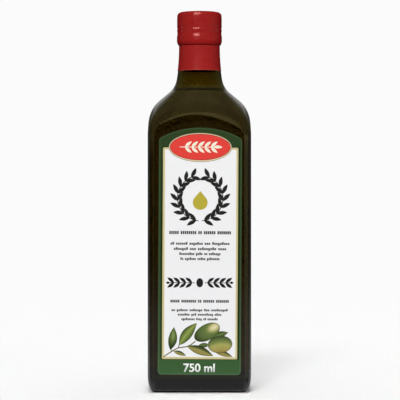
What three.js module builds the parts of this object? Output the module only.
// A bottle of olive oil: a square glass bottle with rounded edges and a round neck, the oil inside it,
// a long-skirt screw closure in two pieces, and one paper label on the front.
// Millimetres, +Z up. The front faces -Y, and the origin is the middle of the base.
import * as THREE from "three";
import { mergeVertices } from "three/addons/utils/BufferGeometryUtils.js";

// Glass body
const BODY_WIDTH = 70.7; // across the flats, both ways
const EDGE_RADIUS = 6.8; // of the four upright edges
const HEEL = { radial: 4.5, axial: 11 }; // rounding between the sides and the foot
const PUNT_RADIUS = 23; // of the round hollow under the base, inside the foot that stands on the table
const PUNT_HEIGHT = 3.5;
const WALL = 3.4;
const FLOOR_HEIGHT = 9; // of the glass floor inside
const FLOOR_RADIUS = 3; // between the floor and the inner wall

// Glass shoulder and neck
const SHOULDER_HEIGHT = 194; // where the cone of the shoulder would meet the flat sides
const SHOULDER_SLOPE = THREE.MathUtils.degToRad(40); // above the horizontal
const SHOULDER_BLEND = 21; // radius between the sides and the shoulder
const NECK_BLEND = 15; // radius between the shoulder and the neck
const NECK_CURVE = 140; // radius of the neck's long hollow flare
const NECK_RADIUS = 13.95; // at the top of that flare
const NECK_HEIGHT = 237.8; // of the top of the flare
const FINISH_RADIUS = 13.4; // of the straight mouth inside the cap
const FINISH_HEIGHT = 238.3; // of its lower end
const LIP_HEIGHT = 259;
const LIP_RADIUS = 1;

// Oil
const OIL_LEVEL = 207.7;
const OIL_GAP = 0.3; // between the oil and the glass

// Closure: the cap that unscrews and the sleeve that stays on the neck
const CAP_FOOT = 238.7;
const CAP_TOP = 262;
const CAP_RADIUS = 15.55;
const CAP_CROWN = { radial: 3, axial: 2.4 }; // rounding of the top edge
const CAP_TAPER = { radial: 0.4, axial: 6 }; // slight narrowing towards the crown
const CAP_TUCK = { radial: 1.45, axial: 3.4 }; // rolled-in lower edge
const CAP_BANDS = [
  { height: 250.7, reach: 1.6, swell: -0.28 }, // upper groove
  { height: 247.8, reach: 3, swell: -0.18 }, // hollow between the grooves
  { height: 245.2, reach: 0.8, swell: -0.15 }, // lower groove
  { height: 242.6, reach: 2.8, swell: 0.2 }, // bead over the locking ring
];
const CAP_BORE = 14.75;
const CAP_MOUTH = 13.6; // clear radius at the rolled-in edge
const CAP_TOP_WALL = 1;
const SLEEVE_FOOT = 221;
const SLEEVE_TOP = 238.4;
const SLEEVE_GAP = 0.1;
const SLEEVE_WALL = 0.15;

// Label
const LABEL_WIDTH = 56.5;
const LABEL_FOOT = 11.9;
const LABEL_TOP = 180.6; // at the middle of its arched top
const LABEL_ARCH_RADIUS = 57;
const LABEL_TOP_CORNER = 3;
const LABEL_FOOT_CORNER = 2.6;
const LABEL_GAP = 0.05;
const LABEL_THICKNESS = 0.2;

// Facets
const FLAT_STEPS = 8; // across one flat side
const EDGE_STEPS = 5; // round one upright edge
const ARC_STEPS = 6; // along an arc of a profile
const NECK_STEPS = 4; // along the neck's long flare
const ROUND_STEPS = 48; // round the closure
const CAP_STEPS = 28; // up the outside of the cap
const SLEEVE_STEPS = 4; // up the sleeve

const HALF_WIDTH = BODY_WIDTH / 2;
const QUARTER_TURN = Math.PI / 2;
const SHOULDER_TILT = QUARTER_TURN - SHOULDER_SLOPE; // of the shoulder's normal above the horizontal

const point = (radius, height) => new THREE.Vector2(radius, height);
const round = (radius) => ({ radial: radius, axial: radius });
const steps = (count) => Array.from({ length: count + 1 }, (_, i) => i / count);

// Points of an arc about a centre, from one tilt of its normal to another. A negative radius is a hollow arc.
function arc(centre, radius, fromTilt, toTilt, count = ARC_STEPS) {
  return steps(count).map((share) => {
    const tilt = THREE.MathUtils.lerp(fromTilt, toTilt, share);
    return point(centre.x + radius * Math.cos(tilt), centre.y + radius * Math.sin(tilt));
  });
}

// Only position is kept, and shared vertices are merged, so that the skin is closed.
function weld(geometry) {
  geometry.deleteAttribute("normal");
  geometry.deleteAttribute("uv");
  const welded = mergeVertices(geometry, 1e-3);
  welded.computeVertexNormals();
  return welded;
}

// Distance from the axis to the body's outline in one direction, with the outline set in by a distance.
function outlineReach(angle, inset) {
  const half = HALF_WIDTH - inset;
  const middle = HALF_WIDTH - EDGE_RADIUS; // of the edge's arc, both ways
  const radius = EDGE_RADIUS - inset;
  const long = Math.max(Math.abs(Math.cos(angle)), Math.abs(Math.sin(angle)));
  const short = Math.min(Math.abs(Math.cos(angle)), Math.abs(Math.sin(angle)));
  if (radius <= 0 || short * half <= long * middle) return half / long;
  const along = middle * (long + short);
  return along + Math.sqrt(along ** 2 - 2 * middle ** 2 + radius ** 2);
}

// Directions of the columns of facets: across each flat, then round the edge that follows it.
function outlineAngles() {
  const middle = HALF_WIDTH - EDGE_RADIUS;
  const side = [];
  for (const share of steps(FLAT_STEPS)) side.push(Math.atan2(middle * (2 * share - 1), HALF_WIDTH));
  for (const share of steps(EDGE_STEPS).slice(1, -1)) {
    const turn = share * QUARTER_TURN;
    side.push(Math.atan2(middle + EDGE_RADIUS * Math.sin(turn), middle + EDGE_RADIUS * Math.cos(turn)));
  }
  return [0, 1, 2, 3].flatMap((quarter) => side.map((angle) => angle + quarter * QUARTER_TURN));
}

// A closed skin with one profile in each direction. A profile runs from the axis below to the axis above.
function loft(profileAt) {
  const angles = outlineAngles();
  const profiles = angles.map(profileAt);
  const rows = profiles[0].length;
  const geometry = new THREE.LatheGeometry(profiles[0], angles.length);
  const position = geometry.getAttribute("position");
  for (let column = 0; column <= angles.length; column++) {
    const angle = angles[column % angles.length];
    profiles[column % angles.length].forEach(({ x, y }, row) => {
      position.setXYZ(column * rows + row, x * Math.cos(angle), x * Math.sin(angle), y);
    });
  }
  return weld(geometry);
}

// A ring or cap turned about the axis, from a profile in radius and height.
function turned(profile) {
  const geometry = new THREE.LatheGeometry(profile, ROUND_STEPS);
  geometry.rotateX(QUARTER_TURN);
  return weld(geometry);
}

// The neck is two hollow arcs that run into each other: a short one rises from the shoulder, and a long one
// carries on up to the straight mouth. Their middles lie outside the glass.
const flareCentre = point(NECK_RADIUS + NECK_CURVE, NECK_HEIGHT);
const coneClearance =
  (flareCentre.x - HALF_WIDTH) * Math.sin(SHOULDER_SLOPE) +
  (flareCentre.y - SHOULDER_HEIGHT) * Math.cos(SHOULDER_SLOPE);
const NECK_TILT = SHOULDER_TILT - Math.acos((coneClearance - NECK_BLEND) / (NECK_CURVE - NECK_BLEND));
const [neckBlendCentre] = arc(flareCentre, NECK_BLEND - NECK_CURVE, NECK_TILT, NECK_TILT, 1);

// Radius of the outside of the neck, from the top of the short arc upwards.
function neckRadius(height) {
  const below = Math.max(0, NECK_HEIGHT - height);
  return flareCentre.x - Math.sqrt(NECK_CURVE ** 2 - below ** 2);
}

// The glass surface from the top of the sides to the top of the neck, set in by a distance.
function shoulderProfile(angle, inset) {
  const side = outlineReach(angle, inset);
  const radius = SHOULDER_BLEND - inset;
  const coneHeight =
    SHOULDER_HEIGHT + (HALF_WIDTH - side) * Math.tan(SHOULDER_SLOPE) - inset / Math.cos(SHOULDER_SLOPE);
  const blendHeight = coneHeight - radius * Math.tan(SHOULDER_TILT / 2);
  return [
    ...arc(point(side - radius, blendHeight), radius, 0, SHOULDER_TILT),
    ...arc(neckBlendCentre, -NECK_BLEND - inset, SHOULDER_TILT, NECK_TILT),
    ...arc(flareCentre, -NECK_CURVE - inset, NECK_TILT, 0, NECK_STEPS).slice(1),
  ];
}

// A quarter of an ellipse between the sides and a level base, both set in by a distance.
function heelProfile(angle, inset, { radial, axial }, baseHeight) {
  return arc(point(0, 0), 1, -QUARTER_TURN, 0).map(({ x, y }) =>
    point(outlineReach(angle, inset + radial * (1 - x)), baseHeight + axial * (1 + y)),
  );
}

function bottleProfile(angle) {
  const punt = [0, 0.35, 0.7, 1].map((share) => point(share * PUNT_RADIUS, PUNT_HEIGHT * (1 - share ** 2)));
  const boreRadius = NECK_RADIUS - WALL;
  const outerLip = point(FINISH_RADIUS - LIP_RADIUS, LIP_HEIGHT - LIP_RADIUS);
  const innerLip = point(boreRadius + LIP_RADIUS, LIP_HEIGHT - LIP_RADIUS);
  const inside = [
    point(0, FLOOR_HEIGHT),
    ...heelProfile(angle, WALL, round(FLOOR_RADIUS), FLOOR_HEIGHT),
    ...shoulderProfile(angle, WALL),
  ];
  return [
    ...punt,
    ...heelProfile(angle, 0, HEEL, 0),
    ...shoulderProfile(angle, 0),
    point(FINISH_RADIUS, FINISH_HEIGHT),
    ...arc(outerLip, LIP_RADIUS, 0, QUARTER_TURN, 2),
    ...arc(innerLip, LIP_RADIUS, QUARTER_TURN, 2 * QUARTER_TURN, 2),
    ...inside.reverse(),
  ];
}

// The space inside the glass, less the gap, up to where its hollow arc meets the level of the oil.
function oilProfile(angle) {
  const inset = WALL + OIL_GAP;
  const base = FLOOR_HEIGHT + OIL_GAP;
  const reach = NECK_BLEND + inset;
  const surface = neckBlendCentre.x - Math.sqrt(reach ** 2 - (neckBlendCentre.y - OIL_LEVEL) ** 2);
  return [
    point(0, base),
    ...heelProfile(angle, inset, round(FLOOR_RADIUS - OIL_GAP), base),
    ...shoulderProfile(angle, inset).filter(({ y }) => y < OIL_LEVEL),
    point(surface, OIL_LEVEL),
    point(0, OIL_LEVEL),
  ];
}

// Outside radius of the cap: a drum with grooves and a bead, rounded in at its crown and at its lower edge.
function capRadius(height) {
  const rounded = (past, { radial, axial }) =>
    past > 0 ? radial * (1 - Math.sqrt(Math.max(0, 1 - (past / axial) ** 2))) : 0;
  const banded = CAP_BANDS.reduce((sum, band) => {
    const share = Math.min(1, Math.abs(height - band.height) / band.reach);
    return sum + band.swell * Math.cos(share * QUARTER_TURN) ** 2;
  }, CAP_RADIUS);
  const crown = rounded(height - (CAP_TOP - CAP_CROWN.axial), CAP_CROWN);
  const taper = CAP_TAPER.radial * Math.max(0, 1 - (CAP_TOP - height) / CAP_TAPER.axial) ** 2;
  const tuck = rounded(CAP_FOOT + CAP_TUCK.axial - height, CAP_TUCK);
  return banded - crown - taper - tuck;
}

function capProfile() {
  const outside = steps(CAP_STEPS).map((share) => {
    const height = THREE.MathUtils.lerp(CAP_FOOT, CAP_TOP, (1 - Math.cos(share * Math.PI)) / 2);
    return point(capRadius(height), height);
  });
  const boreFoot = CAP_FOOT + CAP_TUCK.axial * 0.8;
  return [
    point(0, CAP_TOP - CAP_TOP_WALL),
    point(CAP_BORE, CAP_TOP - CAP_TOP_WALL),
    point(CAP_BORE, boreFoot),
    point(CAP_MOUTH, CAP_FOOT + CAP_TUCK.axial / 2),
    point(CAP_MOUTH, CAP_FOOT),
    ...outside,
    point(0, CAP_TOP),
  ];
}

// A thin skin on the neck, from its foot up to just under the cap.
function sleeveProfile() {
  const skin = (gap) =>
    steps(SLEEVE_STEPS).map((share) => {
      const height = THREE.MathUtils.lerp(SLEEVE_FOOT, SLEEVE_TOP, share);
      return point(neckRadius(height) + gap, height);
    });
  const inside = skin(SLEEVE_GAP).reverse();
  return [...inside, ...skin(SLEEVE_GAP + SLEEVE_WALL), inside[0]];
}

// A tall sheet with an arched top and four small rounded corners, in width and height.
function labelShape() {
  const half = LABEL_WIDTH / 2;
  const archHeight = LABEL_TOP - LABEL_ARCH_RADIUS;
  const cornerX = half - LABEL_TOP_CORNER;
  const cornerHeight = archHeight + Math.sqrt((LABEL_ARCH_RADIUS - LABEL_TOP_CORNER) ** 2 - cornerX ** 2);
  const lean = Math.atan2(cornerHeight - archHeight, cornerX);
  const footX = half - LABEL_FOOT_CORNER;
  const footHeight = LABEL_FOOT + LABEL_FOOT_CORNER;
  return new THREE.Shape()
    .absarc(footX, footHeight, LABEL_FOOT_CORNER, -QUARTER_TURN, 0)
    .absarc(cornerX, cornerHeight, LABEL_TOP_CORNER, 0, lean)
    .absarc(0, archHeight, LABEL_ARCH_RADIUS, lean, Math.PI - lean)
    .absarc(-cornerX, cornerHeight, LABEL_TOP_CORNER, Math.PI - lean, Math.PI)
    .absarc(-footX, footHeight, LABEL_FOOT_CORNER, Math.PI, Math.PI + QUARTER_TURN);
}

function labelGeometry() {
  const geometry = new THREE.ExtrudeGeometry(labelShape(), {
    depth: LABEL_THICKNESS,
    bevelEnabled: false,
    curveSegments: 10,
  });
  geometry.rotateX(QUARTER_TURN);
  return weld(geometry);
}

const GLASS = { color: 0x2a2410, roughness: 0.05, metalness: 0, transparent: true, opacity: 0.85 };
const OIL = { color: 0x8a7a14, roughness: 0.02, metalness: 0, transparent: true, opacity: 0.9 };
const LACQUER = { color: 0x97211f, roughness: 0.35, metalness: 0.1 };
const PAPER = { color: 0x34562f, roughness: 0.6, metalness: 0 };

function piece(name, geometry, finish) {
  const mesh = new THREE.Mesh(geometry, new THREE.MeshStandardMaterial(finish));
  mesh.name = name;
  return mesh;
}

const bottle = new THREE.Group();
const label = piece("front_label", labelGeometry(), PAPER);
label.position.y = -(HALF_WIDTH + LABEL_GAP);
bottle.add(
  piece("glass_bottle", loft(bottleProfile), GLASS),
  piece("olive_oil", loft(oilProfile), OIL),
  piece("screw_cap", turned(capProfile()), LACQUER),
  piece("neck_sleeve", turned(sleeveProfile()), LACQUER),
  label,
);

export default bottle;
